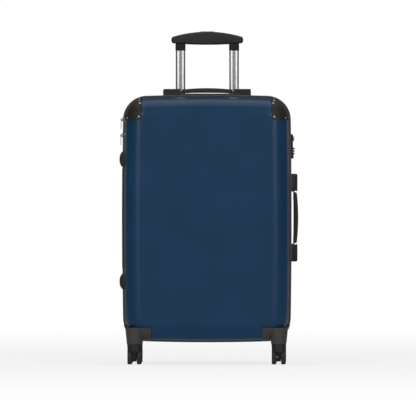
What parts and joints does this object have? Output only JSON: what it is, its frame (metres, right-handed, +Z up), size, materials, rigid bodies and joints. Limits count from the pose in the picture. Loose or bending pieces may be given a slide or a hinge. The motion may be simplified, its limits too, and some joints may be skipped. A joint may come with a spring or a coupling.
{
  "type": "wheeled hard shell suitcase",
  "caption": "Upright hard shell case on swivelling twin wheels, with a telescopic pull handle, carry handles, corner guards, a zip and a combination lock.",
  "frame": {"origin": "on the floor under the parting plane of the two shells, midway between the side walls", "axes": "+X to the right as seen from the front, -Y out of the front, +Z up"},
  "size_m": [0.4384, 0.2693, 0.8166],
  "materials": {
    "shell_navy": "smooth gloss",
    "lining_cloth": "woven satin cloth",
    "zip_tape": "woven tape",
    "strap_webbing": "woven webbing",
    "guard_black": "pebble grain",
    "wheel_plastic": "fine grain",
    "bright_metal": "polished",
    "tube_aluminium": "satin anodised",
    "black_plastic": "fine grain",
    "steel": "plain",
    "wheel_rubber": "smooth"
  },
  "bodies": {
    "rear_half": {"rear_shell": "shell_navy", "lining_rear": "lining_cloth", "zip_tape_rear": "zip_tape", "hinge_tape": "zip_tape", "guard_rear_left": "guard_black", "guard_rear_right": "guard_black", "rivets_rear": "bright_metal", "housing_rear_left": "wheel_plastic", "housing_rear_right": "wheel_plastic", "trolley_tub": "black_plastic", "trolley_outer_tubes": "tube_aluminium", "trolley_foot_bar": "black_plastic", "handle_brackets": "black_plastic", "side_feet_rear": "black_plastic", "lock_housing": "black_plastic", "packing_straps": "strap_webbing", "strap_buckle": "black_plastic"},
    "lid": {"front_shell": "shell_navy", "lining_front": "lining_cloth", "lid_pocket": "lining_cloth", "zip_tape_front": "zip_tape", "guard_front_left": "guard_black", "guard_front_right": "guard_black", "rivets_front": "bright_metal", "housing_front_left": "wheel_plastic", "housing_front_right": "wheel_plastic", "side_feet_front": "black_plastic"},
    "trolley_lower": {"trolley_middle_tubes": "tube_aluminium"},
    "trolley_upper": {"trolley_inner_tubes": "tube_aluminium", "trolley_grip": "black_plastic", "trolley_lock_blocks": "black_plastic"},
    "trolley_release": {"release_button": "black_plastic", "release_rods": "steel"},
    "top_handle": {"top_handle_grip": "black_plastic"},
    "side_handle": {"side_handle_grip": "black_plastic"},
    "dial_1": {"lock_dial_1": "black_plastic"},
    "dial_2": {"lock_dial_2": "black_plastic"},
    "dial_3": {"lock_dial_3": "black_plastic"},
    "lock_button": {"lock_button": "black_plastic"},
    "lock_cylinder": {"lock_cylinder": "steel"},
    "slider_upper": {"zip_slider_upper": "bright_metal"},
    "slider_lower": {"zip_slider_lower": "bright_metal"},
    "pull_upper": {"zip_pull_upper": "bright_metal"},
    "pull_lower": {"zip_pull_lower": "bright_metal"},
    "caster_front_left": {"fork_front_left": "wheel_plastic", "caster_steel_front_left": "steel"},
    "wheel_front_left_left": {"wheel_front_left_left": "wheel_rubber"},
    "wheel_front_left_right": {"wheel_front_left_right": "wheel_rubber"},
    "caster_front_right": {"fork_front_right": "wheel_plastic", "caster_steel_front_right": "steel"},
    "wheel_front_right_left": {"wheel_front_right_left": "wheel_rubber"},
    "wheel_front_right_right": {"wheel_front_right_right": "wheel_rubber"},
    "caster_rear_left": {"fork_rear_left": "wheel_plastic", "caster_steel_rear_left": "steel"},
    "wheel_rear_left_left": {"wheel_rear_left_left": "wheel_rubber"},
    "wheel_rear_left_right": {"wheel_rear_left_right": "wheel_rubber"},
    "caster_rear_right": {"fork_rear_right": "wheel_plastic", "caster_steel_rear_right": "steel"},
    "wheel_rear_right_left": {"wheel_rear_right_left": "wheel_rubber"},
    "wheel_rear_right_right": {"wheel_rear_right_right": "wheel_rubber"}
  },
  "joints": [
    {"name": "lid_hinge", "type": "hinge", "parent": "rear_half", "child": "lid", "pos_m": [-0.216, 0, 0.3575], "axis": [0, 0, -1], "range_deg": [0, 180], "deforming": ["hinge_tape"]},
    {"name": "trolley_stage_1", "type": "slide", "parent": "rear_half", "child": "trolley_lower", "axis": [0, 0, 1], "range_m": [0, 0.17]},
    {"name": "trolley_stage_2", "type": "slide", "parent": "trolley_lower", "child": "trolley_upper", "axis": [0, 0, 1], "range_m": [-0.151, 0.06]},
    {"name": "release_press", "type": "slide", "parent": "trolley_upper", "child": "trolley_release", "axis": [0, 0, -1], "range_m": [0, 0.0035], "stiffness_N_per_m": 1500, "springref_m": -0.002},
    {"name": "top_handle_lift", "type": "slide", "parent": "rear_half", "child": "top_handle", "axis": [0, 0, 1], "range_m": [0, 0.0035]},
    {"name": "side_handle_lift", "type": "slide", "parent": "rear_half", "child": "side_handle", "axis": [1, 0, 0], "range_m": [0, 0.0035]},
    {"name": "dial_1_turn", "type": "hinge", "parent": "rear_half", "child": "dial_1", "pos_m": [0.208, 0.03, 0.5285], "axis": [0, 0, 1], "continuous": true},
    {"name": "dial_2_turn", "type": "hinge", "parent": "rear_half", "child": "dial_2", "pos_m": [0.208, 0.03, 0.5226], "axis": [0, 0, 1], "continuous": true},
    {"name": "dial_3_turn", "type": "hinge", "parent": "rear_half", "child": "dial_3", "pos_m": [0.208, 0.03, 0.5167], "axis": [0, 0, 1], "continuous": true},
    {"name": "lock_button_press", "type": "slide", "parent": "rear_half", "child": "lock_button", "axis": [-1, 0, 0], "range_m": [0, 0.0018], "stiffness_N_per_m": 400, "springref_m": -0.001},
    {"name": "key_turn", "type": "hinge", "parent": "rear_half", "child": "lock_cylinder", "pos_m": [0.2069, 0.03, 0.509], "axis": [1, 0, 0], "range_deg": [0, 90]},
    {"name": "slider_upper_run", "type": "slide", "parent": "rear_half", "child": "slider_upper", "axis": [-0.0164, 0, -0.9999], "range_m": [0, 0.008]},
    {"name": "pull_upper_swing", "type": "hinge", "parent": "slider_upper", "child": "pull_upper", "pos_m": [-0.21095, 0, 0.5998], "axis": [0, 1, 0], "range_deg": [0, 160]},
    {"name": "slider_lower_run", "type": "slide", "parent": "rear_half", "child": "slider_lower", "axis": [-0.0123, 0, -0.9999], "range_m": [0, 0.05]},
    {"name": "pull_lower_swing", "type": "hinge", "parent": "slider_lower", "child": "pull_lower", "pos_m": [-0.21154, 0, 0.5608], "axis": [0, 1, 0], "range_deg": [0, 160]},
    {"name": "swivel_front_left", "type": "hinge", "parent": "lid", "child": "caster_front_left", "pos_m": [-0.177, -0.104, 0.05], "axis": [0, 0, 1], "continuous": true},
    {"name": "roll_front_left_left", "type": "hinge", "parent": "caster_front_left", "child": "wheel_front_left_left", "pos_m": [-0.18845, -0.09, 0.0225], "axis": [1, 0, 0], "continuous": true},
    {"name": "roll_front_left_right", "type": "hinge", "parent": "caster_front_left", "child": "wheel_front_left_right", "pos_m": [-0.16555, -0.09, 0.0225], "axis": [1, 0, 0], "continuous": true},
    {"name": "swivel_front_right", "type": "hinge", "parent": "lid", "child": "caster_front_right", "pos_m": [0.177, -0.104, 0.05], "axis": [0, 0, 1], "continuous": true},
    {"name": "roll_front_right_left", "type": "hinge", "parent": "caster_front_right", "child": "wheel_front_right_left", "pos_m": [0.16555, -0.09, 0.0225], "axis": [1, 0, 0], "continuous": true},
    {"name": "roll_front_right_right", "type": "hinge", "parent": "caster_front_right", "child": "wheel_front_right_right", "pos_m": [0.18845, -0.09, 0.0225], "axis": [1, 0, 0], "continuous": true},
    {"name": "swivel_rear_left", "type": "hinge", "parent": "rear_half", "child": "caster_rear_left", "pos_m": [-0.177, 0.104, 0.05], "axis": [0, 0, 1], "continuous": true},
    {"name": "roll_rear_left_left", "type": "hinge", "parent": "caster_rear_left", "child": "wheel_rear_left_left", "pos_m": [-0.18845, 0.118, 0.0225], "axis": [1, 0, 0], "continuous": true},
    {"name": "roll_rear_left_right", "type": "hinge", "parent": "caster_rear_left", "child": "wheel_rear_left_right", "pos_m": [-0.16555, 0.118, 0.0225], "axis": [1, 0, 0], "continuous": true},
    {"name": "swivel_rear_right", "type": "hinge", "parent": "rear_half", "child": "caster_rear_right", "pos_m": [0.177, 0.104, 0.05], "axis": [0, 0, 1], "continuous": true},
    {"name": "roll_rear_right_left", "type": "hinge", "parent": "caster_rear_right", "child": "wheel_rear_right_left", "pos_m": [0.16555, 0.118, 0.0225], "axis": [1, 0, 0], "continuous": true},
    {"name": "roll_rear_right_right", "type": "hinge", "parent": "caster_rear_right", "child": "wheel_rear_right_right", "pos_m": [0.18845, 0.118, 0.0225], "axis": [1, 0, 0], "continuous": true}
  ]
}
